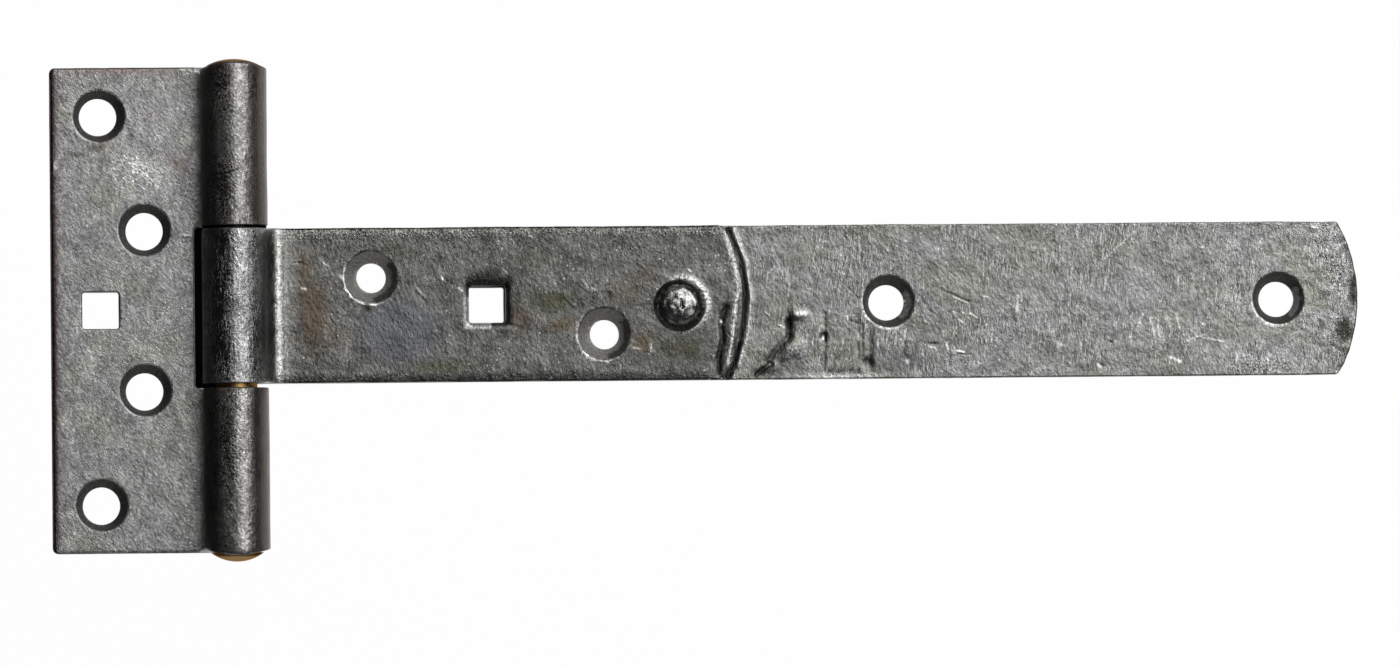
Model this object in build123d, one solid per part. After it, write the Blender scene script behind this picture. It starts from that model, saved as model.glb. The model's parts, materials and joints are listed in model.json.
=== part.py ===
from build123d import *
import os
from math import asin, degrees, radians, sqrt, tan

# A tee hinge: a short flap and a long strap of the same sheet, swinging on one riveted pin.
# Millimetres. X runs along the strap, Y along the pin, and Z out of the plane that both backs lie in.
# The origin is on the back of the flap, at the centre of its square bolt hole.

# Sheet and pin
sheet = 3.0                   # thickness of the flap's plate and of the strap's strip
pin_d = 11.0
running_gap = 0.08            # all round, between the pin and a knuckle's bore
seam = 0.1                    # left between two faces of sheet that are pressed together
edge_round = 0.5              # on the sheared edges of the sheet
countersink_angle = 90.0

# Flap
flap_height = 125.0
flap_reach = 47.2             # free edge to the pin's axis
flap_corner_r = 1.6
outer_hole_inset = 12.8       # free edge to the line of the outer holes and the square hole
inner_hole_step = 11.4        # from that line to the line of the inner holes
outer_hole_pitch = 100.0
inner_hole_pitch = 41.2
notch_gap = 1.6               # from the notch's edge to the strap's knuckle
notch_corner_r = 1.0
large_hole_d = 9.5
large_countersink_d = 13.4
square_hole = 9.2             # takes the square neck of an 8 mm coach bolt
square_corner_r = 0.6
flap_square_round = 0.6       # where the punch drew in the hole's front edges
strap_square_round = 1.2

# Strap
strap_width = 40.0
strap_length = 300.0          # outside of the knuckle to the tip
strap_rise = 0.75             # its centre line above the flap's
play_above = 0.45             # end of its knuckle to the flap's upper knuckle
play_below = 0.95             # and to the lower one
end_arc_r = 41.0              # both ends of the strip are cut to this arc
tip_corner_r = 2.0
lap_corner_r = 2.6
lap_reach = 131.4             # the pin's axis to the end of the lap
lap_end_round = 2.4           # hammered on the top edge of the lap's end
bend_r = 5.0                  # hollow of the bend between the knuckle and the lap
small_hole_d = 7.5
small_countersink_d = 13.5
near_hole = (35.0, 7.2)       # from the pin's axis and from the strap's centre line
far_hole = (95.0, -7.9)
strap_square_x = 65.0         # from the pin's axis
strap_hole_d = 9.0            # the two large holes in the single layer
single_hole_x = 169.0         # from the pin's axis
tip_hole_inset = 20.9         # from the tip

# Pin heads and lap rivet
head_d = 13.7
head_rise = 2.5
rivet_inset = 16.8            # from the end of the lap
rivet_side = -0.65            # from the strap's centre line
rivet_d = 8.0
rivet_gap = 0.02              # all round the rivet
rivet_countersink_d = 13.6
rivet_head_d = 9.3
rivet_head_rise = 0.3         # crown of the head above the face of the lap
rivet_back_d = 10.6           # flush head at the back, in a countersink of its own

# Worked out from the sizes above
bore_r = pin_d / 2 + running_gap
knuckle_r = bore_r + sheet
middle_r = bore_r + sheet / 2
pin_x = flap_reach - outer_hole_inset
pin_z = knuckle_r
notch_x = pin_x - knuckle_r - notch_gap
notch_top = strap_rise + strap_width / 2 + play_above
notch_bottom = strap_rise - strap_width / 2 - play_below
lap_z = sheet + seam          # underside of the lap
lap_top = lap_z + sheet       # its face
tip_x = pin_x - knuckle_r + strap_length
lap_end_x = pin_x + lap_reach
tip_hole_x = tip_x - pin_x - tip_hole_inset
rivet_place = (lap_reach - rivet_inset, rivet_side)
slope =tan(radians(countersink_angle / 2))
past = 1.0                    # how far a cutting tool runs past the face it goes through
from_below = (Align.CENTER, Align.CENTER, Align.MIN)


def cone_depth(hole_d, mouth_d):
    """Depth of a countersink that widens a hole to its mouth."""
    return (mouth_d - hole_d) / 2 / slope


def hole_tool(x, y, face_z, hole_d, countersink_d):
    """A round hole right through, with a countersink in the face at face_z."""
    depth = cone_depth(hole_d, countersink_d)
    shank = Cylinder(hole_d / 2, face_z + 2 * past, align=from_below)
    cone = Cone(hole_d / 2, countersink_d / 2 + past * slope, depth + past, align=from_below)
    return Pos(x, y, -past) * shank + Pos(x, y, face_z - depth) * cone


def punch_square(leaf, x, y, face_z, drawn_in):
    """A square hole right through, its front edges drawn in by the punch."""
    outline = Pos(x, y, -past) * RectangleRounded(square_hole, square_hole, square_corner_r)
    leaf -= extrude(outline, face_z + 2 * past)
    half = square_hole / 2
    rim = leaf.edges().filter_by_position(Axis.Z, face_z, face_z)
    rim = rim.filter_by_position(Axis.X, x - half, x + half).filter_by_position(Axis.Y, y - half, y + half)
    return fillet(rim, drawn_in)


def rolled(path, low_y, high_y):
    """Sheet bent to a path drawn in X and Z along the middle of its thickness."""
    profile = Plane.XZ * trace(path, sheet)
    return Pos(0, (low_y + high_y) / 2) * extrude(profile, (high_y - low_y) / 2, both=True)


def sheared_edges(leaf):
    """The long edges of the sheet: not those across its thickness, and not bend lines or a roll's end."""
    long_edges = leaf.edges().filter_by(lambda edge: edge.length > 1.1 * sheet)
    across = long_edges.filter_by(Axis.Y).filter_by_position(Axis.X, notch_x + edge_round, lap_end_x)
    return long_edges - across


def make_flap():
    """A plate with two tongues rolled right round the pin, one on each side of the notch."""
    plate = Pos(pin_x - flap_reach / 2, 0) * Rectangle(flap_reach, flap_height)
    plate = fillet(plate.vertices().group_by(Axis.X)[0], flap_corner_r)
    notch = Rectangle(2 * (pin_x - notch_x), notch_top - notch_bottom)
    notch = Pos(pin_x, (notch_top + notch_bottom) / 2) * notch
    notch = fillet(notch.vertices().group_by(Axis.X)[0], notch_corner_r)
    flap = extrude(plate - notch, sheet)
    # The roll starts under the pin and stops where its outside is a seam above the plate
    stop = 180 + degrees(asin(1 - (sheet + seam) / knuckle_r))
    roll = CenterArc((pin_x, pin_z), middle_r, -90, stop + 90)
    flap += rolled(roll, notch_top, flap_height / 2) + rolled(roll, -flap_height / 2, notch_bottom)
    flap = fillet(sheared_edges(flap), edge_round)
    for y in (outer_hole_pitch / 2, -outer_hole_pitch / 2):
        flap -= hole_tool(0, y, sheet, large_hole_d, large_countersink_d)
    for y in (inner_hole_pitch / 2, -inner_hole_pitch / 2):
        flap -= hole_tool(inner_hole_step, y, sheet, large_hole_d, large_countersink_d)
    return punch_square(flap, 0, 0, sheet, flap_square_round)


def strip_plan(start_x, end_x, corner_r):
    """Plan of the strip from start_x to an end cut to an arc."""
    half = strap_width / 2
    shoulder_x = end_x - end_arc_r + sqrt(end_arc_r ** 2 - half ** 2)
    sides = Polyline((shoulder_x, -half), (start_x, -half), (start_x, half), (shoulder_x, half))
    plan = make_face(sides + ThreePointArc((shoulder_x, half), (end_x, 0), (shoulder_x, -half)))
    plan = fillet(plan.vertices().group_by(Axis.X)[-1], corner_r)
    return Pos(0, strap_rise) * plan


def round_over(end_x, face_z, radius):
    """Cutter that rounds the top edge of an end cut to the arc."""
    corner = Rectangle(radius + past, radius + past, align=(Align.MIN, Align.MIN)) - Circle(radius)
    ring = revolve(Plane.XZ * Pos(end_arc_r - radius, -radius) * corner, Axis.Z, 180)
    return Pos(end_x - end_arc_r, strap_rise, face_z) * Rot(0, 0, -90) * ring


def on_strap(place):
    """A place given from the pin's axis and the strap's centre line, in the hinge's own X and Y."""
    return pin_x + place[0], strap_rise + place[1]


def fold_strip():
    """One strip: back layer, knuckle round the pin, bend, and lap lying on the back layer."""
    bend_z = lap_top + bend_r
    reach = knuckle_r + bend_r
    bend_x = pin_x + sqrt(reach ** 2 - (bend_z - pin_z) ** 2)
    turn = degrees(asin((bend_z - pin_z) / reach))
    knuckle = CenterArc((pin_x, pin_z), middle_r, 270, turn - 270)
    bend = CenterArc((bend_x, bend_z), bend_r + sheet / 2, 180 + turn, 90 - turn)
    strip = extrude(strip_plan(pin_x, tip_x, tip_corner_r), sheet)
    strip += rolled(knuckle + bend, strap_rise - strap_width / 2, strap_rise + strap_width / 2)
    strip += Pos(0, 0, lap_z) * extrude(strip_plan(bend_x, lap_end_x, lap_corner_r), sheet)
    strip = fillet(sheared_edges(strip), edge_round)
    return strip - round_over(lap_end_x, lap_top, lap_end_round)


def make_strap():
    """The folded strip with its holes: three places through both layers, two in the back layer alone."""
    strap = fold_strip()
    for place in (near_hole, far_hole):
        strap -= hole_tool(*on_strap(place), lap_top, small_hole_d, small_countersink_d)
    for x in (single_hole_x, tip_hole_x):
        strap -= hole_tool(*on_strap((x, 0)), sheet, strap_hole_d, large_countersink_d)
    strap = punch_square(strap, *on_strap((strap_square_x, 0)), lap_top, strap_square_round)
    hole_d = rivet_d + 2 * rivet_gap
    back_d = rivet_back_d + 2 * rivet_gap
    back_cone = Cone(back_d / 2, hole_d / 2, cone_depth(hole_d, back_d), align=from_below)
    strap -= hole_tool(*on_strap(rivet_place), lap_top, hole_d, rivet_countersink_d)
    return strap - Pos(*on_strap(rivet_place)) * back_cone


def make_pin():
    """A plain shaft across the flap's knuckles, headed over into a low dome at both ends."""
    half = flap_height / 2
    dome_r = (head_d ** 2 / 4 + head_rise ** 2) / (2 * head_rise)
    ball = Pos(0, 0, half + head_rise - dome_r) * Sphere(dome_r)
    dome = split(ball, Plane.XY.offset(half), keep=Keep.TOP)
    pin = Cylinder(pin_d / 2, flap_height) + dome + mirror(dome, Plane.XY)
    return Pos(pin_x, 0, pin_z) * Rot(90, 0, 0) * pin


def make_lap_rivet():
    """Shank with a flush cone at the back, and a crowned head upset on the countersink in front."""
    shank_r = rivet_d / 2
    head_r = rivet_head_d / 2
    back_z = cone_depth(rivet_d, rivet_back_d)
    neck_z = lap_top - cone_depth(rivet_d, rivet_countersink_d)
    rim_z = neck_z + cone_depth(rivet_d, rivet_head_d)
    crown_z = lap_top + rivet_head_rise
    crown_r = (head_r ** 2 + (crown_z - rim_z) ** 2) / (2 * (crown_z - rim_z))
    with BuildPart() as rivet:
        with BuildSketch(Plane.XZ):
            with BuildLine():
                Polyline((0, crown_z), (0, 0), (rivet_back_d / 2, 0), (shank_r, back_z), (shank_r, neck_z),
                         (head_r, rim_z))
                RadiusArc((head_r, rim_z), (0, crown_z), -crown_r)
            make_face()
        revolve(axis=Axis.Z)
    return Pos(*on_strap(rivet_place)) * rivet.part


parts = {"flap": make_flap(), "strap": make_strap(), "pin": make_pin(), "lap_rivet": make_lap_rivet()}
os.makedirs("parts", exist_ok=True)
for name, part in parts.items():
    part.label = name
    export_step(part, f"parts/{name}.step")
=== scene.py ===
import json
from math import cos, exp, hypot, radians, sin

import bmesh
import bpy
from mathutils import Matrix, Vector, noise


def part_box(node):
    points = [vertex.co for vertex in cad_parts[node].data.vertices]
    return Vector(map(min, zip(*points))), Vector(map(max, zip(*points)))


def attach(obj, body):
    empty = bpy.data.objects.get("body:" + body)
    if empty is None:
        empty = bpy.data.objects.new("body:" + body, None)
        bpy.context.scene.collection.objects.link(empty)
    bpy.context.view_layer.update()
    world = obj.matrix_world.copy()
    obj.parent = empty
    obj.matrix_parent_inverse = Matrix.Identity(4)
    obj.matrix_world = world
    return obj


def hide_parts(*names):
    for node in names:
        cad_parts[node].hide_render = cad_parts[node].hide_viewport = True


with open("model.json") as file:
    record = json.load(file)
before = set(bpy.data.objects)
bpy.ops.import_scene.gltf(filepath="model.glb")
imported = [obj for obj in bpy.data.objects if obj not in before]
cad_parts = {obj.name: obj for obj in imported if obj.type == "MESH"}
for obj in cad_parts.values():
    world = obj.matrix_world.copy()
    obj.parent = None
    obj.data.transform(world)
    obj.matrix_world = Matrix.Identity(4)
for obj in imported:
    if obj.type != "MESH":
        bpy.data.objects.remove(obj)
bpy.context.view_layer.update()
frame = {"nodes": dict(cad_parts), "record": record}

# The tee hinge's finish: dipped, hammered and handled steel, laid over the solids of the frame.
# Blender's metres; marks and relief are given in millimetres in the hinge's own X and Y.

mm = 0.001

# Sizes of the solids that the marks follow, in millimetres
sheet = 3.0
lap_top = 6.1
knuckle_r = 8.58
rim_round = 0.35                          # on the mouths of the countersinks
square_half = 4.6
strap_low, strap_high = (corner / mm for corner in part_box("strap"))
strap_middle = (strap_low.y + strap_high.y) / 2
flap_low, flap_high = (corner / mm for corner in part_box("flap"))
pin_place = Vector(frame["record"]["behaviour"]["joints"][0]["pos_m"]) / mm
rivet_place = sum(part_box("lap_rivet"), Vector()) / 2 / mm
square_place = Vector((pin_place.x + 65, strap_middle))
lap_end = pin_place.x + 131.4
lap_end_arc = 41.0                        # that of the tip as well
lap_end_round = 2.4
single_start = lap_end - 6                # the single layer's marks begin under the lap's sloped end
mounts = {mount["name"]: mount for mount in frame["record"]["mounts"]}

# Camera: fitted to the edges of the hinge in the photograph, whose size in pixels this is
photo_width = 1400
sensor = 36.0                             # millimetres, as a camera states it
camera_distance = 2.6
camera_aim = Vector((0.1544, -0.00714, 0.003))
camera_slope = (0.08, 0.03)               # how far it stands to the left and below, per metre of height
camera_roll = radians(0.612)
pixels_per_metre = 3874.9                 # at the plane of the leaves

# Ground, far enough below for the strap to swing down
floor_z = -0.31
floor_reach = 10.0                        # to each side of the hinge


def screw_holes(name, towards):
    """Centres of a pair of screw holes: the middle of the pair, and the way from it to one of them."""
    middle = Vector(mounts[name]["pos_m"][:2]) / mm
    return [middle + Vector(towards), middle - Vector(towards)]


# Screw holes: centre, face they open in, radius of the hole, radius of the countersink's mouth, and how far
# the hole wandered from the middle of its countersink
outer_pair = screw_holes("flap_outer_screws", (0, 50))
inner_pair = screw_holes("flap_inner_screws", (0, 20.6))
strap_pair = screw_holes("strap_screws", (-50.76, 0))
lap_pair = screw_holes("lap_screws", (-30, 7.55))
flap_holes = [
    (outer_pair[0], sheet, 4.75, 6.7, (-0.30, -0.25)),
    (inner_pair[0], sheet, 4.75, 6.7, (0.00, -0.30)),
    (inner_pair[1], sheet, 4.75, 6.7, (-0.20, -0.32)),
    (outer_pair[1], sheet, 4.75, 6.7, (-0.16, -0.20)),
]
strap_holes = [
    (strap_pair[0], sheet, 4.5, 6.7, (-0.45, -0.28)),
    (strap_pair[1], sheet, 4.5, 6.7, (-0.31, -0.20)),
    (lap_pair[0], lap_top, 3.75, 6.75, (0.28, -0.10)),
    (lap_pair[1], lap_top, 3.75, 6.75, (0.36, -0.05)),
]


# Camera and light

def add_object(name, data):
    """An object of the scene, for a lens, a lamp or a mesh."""
    made = bpy.data.objects.new(name, data)
    bpy.context.scene.collection.objects.link(made)
    return made


def add_camera():
    """The photograph's viewpoint: almost square above the open hinge."""
    outward = Vector((-camera_slope[0], -camera_slope[1], 1)).normalized()
    up = Matrix.Rotation(-camera_roll, 3, "Z") @ Vector((0, 1, 0))
    right = up.cross(outward).normalized()
    turn = Matrix((right, outward.cross(right), outward)).transposed().to_4x4()
    lens = bpy.data.cameras.new("photo_camera")
    lens.sensor_width = sensor
    lens.lens = pixels_per_metre * camera_distance / photo_width * sensor
    lens.clip_end = 50
    camera = add_object("photo_camera", lens)
    camera.matrix_world = Matrix.Translation(camera_aim + outward * camera_distance) @ turn
    bpy.context.scene.camera = camera


def add_softbox(name, towards, distance, width, height, radiance):
    """A flat lamp facing the hinge, unseen by the camera."""
    lamp = bpy.data.lights.new(name, "AREA")
    lamp.shape = "RECTANGLE"
    lamp.size = width
    lamp.size_y = height
    lamp.energy = radiance * 4 * width * height
    box = add_object(name, lamp)
    direction = Vector(towards).normalized()
    turn = direction.to_track_quat("Z", "Y").to_matrix().to_4x4()
    box.matrix_world = Matrix.Translation(camera_aim + direction * distance) @ turn
    box.visible_camera = False


def add_lights():
    """A large soft light high on the right with a brighter middle, and low ones past both ends of the pin."""
    add_softbox("key_broad", (0.40, 0.36, 1), 4.0, 3.73, 3.73, 2.0)
    add_softbox("key_core", (0.42, 0.40, 1), 3.9, 1.27, 1.27, 3.0)
    add_softbox("low_front", (0, -1, 0.40), 4.0, 7.0, 1.9, 0.33)
    add_softbox("low_back", (0, 1, 0.40), 4.0, 7.0, 1.9, 0.33)
    world = bpy.data.worlds.new("dim_room")
    world.use_nodes = True
    world.node_tree.nodes["Background"].inputs["Color"].default_value = (1, 1, 1, 1)
    world.node_tree.nodes["Background"].inputs["Strength"].default_value = 0.012
    bpy.context.scene.world = world


# Node helpers

def feed(tree, socket, value):
    """Give a socket a plain value, or a link from another node."""
    if isinstance(value, bpy.types.NodeSocket):
        tree.links.new(value, socket)
    elif isinstance(value, tuple) and socket.type == "RGBA":
        socket.default_value = (*value, 1)
    else:
        socket.default_value = value


def add_node(tree, kind, inputs, **settings):
    """A node with its settings made and its sockets fed, by name or by place."""
    made = tree.nodes.new("ShaderNode" + kind)
    for name, value in settings.items():
        setattr(made, name, value)
    for key, value in inputs.items():
        feed(tree, made.inputs[key], value)
    return made


def calculate(tree, operation, *values):
    return add_node(tree, "Math", dict(enumerate(values)), operation=operation).outputs[0]


def spread(tree, value, low, high, to_low=0.0, to_high=1.0):
    """A value's range from low to high, eased on to another."""
    inputs = {"Value": value, "From Min": low, "From Max": high, "To Min": to_low, "To Max": to_high}
    return add_node(tree, "MapRange", inputs, interpolation_type="SMOOTHSTEP").outputs[0]


def blend(tree, factor, first, second, mode="MIX"):
    made = add_node(tree, "Mix", {0: factor, 6: first, 7: second}, data_type="RGBA", blend_type=mode)
    return made.outputs[2]


def new_group(name, inputs, output):
    """A node group that puts out one value, with its end nodes' sockets."""
    tree = bpy.data.node_groups.new(name, "ShaderNodeTree")
    for label, kind in inputs.items():
        tree.interface.new_socket(label, in_out="INPUT", socket_type="NodeSocket" + kind)
    tree.interface.new_socket(output, in_out="OUTPUT", socket_type="NodeSocketFloat")
    return tree, tree.nodes.new("NodeGroupInput").outputs, tree.nodes.new("NodeGroupOutput").inputs[0]


# Shared effects

def turned_and_sized(tree, given):
    """The place, turned and then measured by the effect's size in each direction."""
    turned = add_node(tree, "Mapping", {"Vector": given["Place"], "Rotation": given["Turn"]})
    inputs = {0: turned.outputs[0], 1: given["Size"]}
    return add_node(tree, "VectorMath", inputs, operation="DIVIDE").outputs[0]


def make_grain_group():
    """Zinc grain: a value from 0 to 1 that changes over a given size in each direction."""
    inputs = {"Place": "Vector", "Size": "Vector", "Turn": "Vector", "Detail": "Float"}
    tree, given, result = new_group("zinc_grain", inputs, "Grain")
    sized = turned_and_sized(tree, given)
    inputs = {"Vector": sized, "Scale": 1.0, "Detail": given["Detail"], "Roughness": 0.6}
    feed(tree, result, add_node(tree, "TexNoise", inputs).outputs[0])
    return tree


def make_ragged_group():
    """A painted amount, with its border broken up by fine noise."""
    inputs = {"Place": "Vector", "Amount": "Float", "Ragged": "Float"}
    tree, given, result = new_group("ragged", inputs, "Mask")
    inputs = {"Vector": given["Place"], "Scale": 900.0, "Detail": 4.0, "Roughness": 0.7}
    uneven = calculate(tree, "SUBTRACT", add_node(tree, "TexNoise", inputs).outputs[0], 0.5)
    broken = calculate(tree, "MULTIPLY_ADD", uneven, given["Ragged"], given["Amount"])
    shown = calculate(tree, "GREATER_THAN", given["Amount"], 0.02)
    feed(tree, result, calculate(tree, "MULTIPLY", spread(tree, broken, 0.12, 0.80), shown))
    return tree


def make_scuff_group():
    """Many fine scuffs that run one way, and break off."""
    inputs = {"Place": "Vector", "Size": "Vector", "Turn": "Vector", "Amount": "Float"}
    tree, given, result = new_group("scuffs", inputs, "Mask")
    inputs = {"Vector": turned_and_sized(tree, given), "Scale": 1.0, "Detail": 2.0, "Roughness": 0.5}
    lines = add_node(tree, "TexNoise", inputs)
    patches = add_node(tree, "TexNoise", {"Vector": given["Place"], "Scale": 90.0, "Detail": 1.0})
    level = calculate(tree, "MULTIPLY_ADD", patches.outputs[0], 0.45, lines.outputs[0])
    limit = calculate(tree, "SUBTRACT", 1.0, given["Amount"])
    feed(tree, result, spread(tree, level, limit, calculate(tree, "ADD", limit, 0.06)))
    return tree


def make_bead_group():
    """Small round beads of zinc."""
    inputs = {"Place": "Vector", "Spacing": "Float", "Share": "Float"}
    tree, given, result = new_group("zinc_beads", inputs, "Bead")
    scale = calculate(tree, "DIVIDE", 1.0, given["Spacing"])
    cells = add_node(tree, "TexVoronoi", {"Vector": given["Place"], "Scale": scale})
    chance = add_node(tree, "SeparateColor", {0: cells.outputs["Color"]}).outputs[0]
    kept = calculate(tree, "LESS_THAN", chance, given["Share"])
    dome = spread(tree, cells.outputs["Distance"], 0.05, 0.45, 1.0, 0.0)
    feed(tree, result, calculate(tree, "MULTIPLY", dome, kept))
    return tree


grain_group = make_grain_group()
ragged_group = make_ragged_group()
scuff_group = make_scuff_group()
bead_group = make_bead_group()


class Skin:
    """A metal surface in the making: colour, roughness and relief, with marks laid over them in turn."""

    def __init__(self, name, colour, roughness):
        self.material = bpy.data.materials.new(name)
        self.material.use_nodes = True
        self.tree = self.material.node_tree
        self.place = add_node(self.tree, "TexCoord", {}).outputs["Object"]
        self.colour = colour
        self.roughness = roughness
        self.height = 0.0

    def group(self, group, **inputs):
        """The value that a shared effect gives at each place."""
        made = self.tree.nodes.new("ShaderNodeGroup")
        made.node_tree = group
        feed(self.tree, made.inputs["Place"], self.place)
        for name, value in inputs.items():
            feed(self.tree, made.inputs[name], value)
        return made.outputs[0]

    def turned(self, group, size, turn, **inputs):
        """An effect of a size in millimetres along X, Y and Z, turned in the plane of the leaves."""
        return self.group(group, Size=[length * mm for length in size], Turn=(0, 0, radians(turn)), **inputs)

    def grain(self, size, turn=0.0, detail=3.0):
        return self.turned(grain_group, size, turn, Detail=detail)

    def painted(self, name):
        """A value painted on the mesh."""
        return add_node(self.tree, "Attribute", {}, attribute_name=name).outputs["Fac"]

    def share(self, *values):
        """Values multiplied with each other."""
        result = values[0]
        for value in values[1:]:
            result = calculate(self.tree, "MULTIPLY", result, value)
        return result

    def tint(self, mask, colour, *shares):
        """Another colour, or a share of it, where the mask or the painted value of that name is 1."""
        mask = self.painted(mask) if isinstance(mask, str) else mask
        self.colour = blend(self.tree, self.share(mask, *shares), self.colour, colour)

    def shade(self, value, low, high, mask=1.0):
        """The colour darkened or lightened from low to high as the value goes from 0.3 to 0.7."""
        strength = spread(self.tree, value, 0.3, 0.7, low, high)
        grey = add_node(self.tree, "CombineColor", {0: strength, 1: strength, 2: strength}).outputs[0]
        shaded = blend(self.tree, 1.0, self.colour, grey, "MULTIPLY")
        self.colour = blend(self.tree, mask, self.colour, shaded)

    def gloss(self, mask, roughness):
        """Another roughness where the mask is 1."""
        inputs = {"Factor": mask, 2: self.roughness, 3: roughness}
        self.roughness = add_node(self.tree, "Mix", inputs, data_type="FLOAT").outputs[0]

    def relief(self, value, height, mask=None):
        """Relief of a height in millimetres, everywhere or in a mask."""
        if mask:
            value = self.share(value, mask)
        self.height = calculate(self.tree, "MULTIPLY_ADD", value, height * mm, self.height)

    def scuffs(self, size, turn, amount, colour, mask, height):
        """Fine scuffs of a size in millimetres, the way they run, and how much of the face they take."""
        lines = self.turned(scuff_group, size, turn, Amount=amount)
        self.tint(lines, colour, mask)
        self.relief(lines, height)

    def crust(self, mask):
        """Rough granular zinc where the mask is 1: bright crumbs with dark hollows between them."""
        crumbs = self.grain((0.55, 0.55, 0.55), 0, 4)
        self.shade(crumbs, 0.10, 2.4, mask)
        self.relief(crumbs, 0.16, mask)
        beads = self.group(bead_group, Spacing=0.7 * mm, Share=0.35)
        self.tint(beads, bare_zinc_and_highlight, mask, 0.8)
        self.relief(beads, 0.10, mask)

    def hues(self, size, turn, start, ends, *masks):
        """Faint hues in broad patches, each from the start to its own end of a grain's values."""
        hue = self.grain(size, turn)
        for end, colour in ends.items():
            self.tint(spread(self.tree, hue, start, end), colour, *masks)

    def stain(self, name, colour, ragged):
        """A colour in the ragged shape of a painted amount."""
        self.tint(self.group(ragged_group, Amount=self.painted(name), Ragged=ragged), colour)

    def finish(self):
        """The metal with all that was laid on it."""
        shader = self.tree.nodes["Principled BSDF"]
        shader.inputs["Metallic"].default_value = 1.0
        feed(self.tree, shader.inputs["Base Color"], self.colour)
        feed(self.tree, shader.inputs["Roughness"], self.roughness)
        relief = add_node(self.tree, "Bump", {"Height": self.height, "Distance": 1.0, "Strength": 1.0})
        self.tree.links.new(relief.outputs[0], shader.inputs["Normal"])
        return self.material


# Finishes

# Near black: the zinc's dark pits, and painted shade in grooves, hollows and at the rivet's foot
near_black = (0.014, 0.014, 0.013)
well_grey = (0.105, 0.101, 0.096)
well_light = (0.62, 0.61, 0.58)
bare_zinc_and_highlight = (0.62, 0.62, 0.60)
plum = (0.045, 0.028, 0.034)
# Stains: colour, and how ragged their borders are
flap_stains = {
    "brown": ((0.185, 0.152, 0.134), 0.8),
    "smudge": ((0.085, 0.085, 0.075), 0.5),
    "rosy": ((0.235, 0.195, 0.190), 1.2),
}
strap_stains = {
    "brown": ((0.086, 0.067, 0.052), 1.4),
    "tan": ((0.108, 0.090, 0.064), 1.6),
    "olive": ((0.066, 0.066, 0.048), 1.6),
    "slate": ((0.108, 0.110, 0.119), 0.5),
    "smudge": ((0.034, 0.034, 0.030), 1.0),
}


def lay_zinc(skin, fine_turn, strength):
    """The zinc's own texture: fine flecks, lumps and broad waves, then bright beads and dark pits."""
    for size, turn, detail, darkest, lightest, height in (
            ((0.32, 0.42, 0.35), fine_turn, 4, 0.81, 1.17, 0.038),
            ((0.8, 1.2, 0.9), fine_turn, 3, 0.80, 1.20, 0.115),
            ((3.4, 4.6, 3.4), 20, 2, 0.78, 1.19, 0.17)):
        grain = skin.grain(size, turn, detail)
        skin.shade(grain, darkest, lightest)
        skin.relief(grain, height * strength)
    for spacing, chance, share, colour in ((0.8, 0.07, 0.6, bare_zinc_and_highlight), (0.9, 0.05, 0.55, near_black)):
        beads = skin.group(bead_group, Spacing=spacing * mm, Share=chance)
        skin.tint(beads, colour, share)


def lay_marks(skin, stains):
    """What is painted on a leaf: stains, rough zinc, dark lines and painted shade, bare zinc and painted
    highlights, and the holes' walls, darker, with painted light on their lit parts.
    """
    for name, (colour, ragged) in stains.items():
        skin.stain(name, colour, ragged)
    skin.crust(skin.painted("crust"))
    # Dark lines of the marks, and on the strap painted shade in its hollows and grooves
    skin.tint("dirt_and_shade", near_black)
    crumbs = skin.grain((0.5, 0.5, 0.5))
    # Bare zinc of the scratches, and painted highlights on ridges, edges and rims, broken up by crumbs
    skin.tint("bright", bare_zinc_and_highlight, spread(skin.tree, crumbs, 0.32, 0.50))
    well = skin.painted("well")
    skin.tint(well, well_grey)
    # Painted light on the lit parts of the countersinks' walls
    skin.tint("lit_well", well_light)
    skin.shade(crumbs, 0.70, 1.35, well)
    skin.gloss(well, 0.6)


def make_flap_zinc():
    """Matt grey zinc with a fine grain that leans to one side, and darker rolls."""
    skin = Skin("flap_zinc", (0.264, 0.260, 0.257), 0.36)
    barrel = skin.painted("barrel")
    skin.tint(barrel, (0.228, 0.222, 0.212))
    skin.gloss(barrel, 0.24)
    skin.relief(skin.grain((0.5, 0.6, 0.5)), 0.05, barrel)
    flat = calculate(skin.tree, "SUBTRACT", 1.0, barrel)
    skin.hues((12, 10, 10), 30, 0.50, {0.64: (0.256, 0.256, 0.226), 0.36: (0.268, 0.256, 0.262)}, flat, 0.7)
    lay_zinc(skin, -42, 0.95)
    # Brown patina and painted shade on the strap side of the knuckles
    skin.tint("patina_and_shade", (0.072, 0.060, 0.048), 0.85)
    # Painted shade on the plate side of the knuckles
    skin.tint("plate_side_shade", (0.060, 0.059, 0.055), 0.8)
    skin.scuffs((0.20, 0.80, 0.3), -40, 0.13, bare_zinc_and_highlight, skin.share(flat, 0.6), 0.02)
    skin.scuffs((0.24, 1.10, 0.3), -52, 0.26, (0.8, 0.8, 0.78), skin.painted("flecks"), 0.04)
    lay_marks(skin, flap_stains)
    skin.tint("dark_edge", plum)
    return skin.finish()


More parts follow.
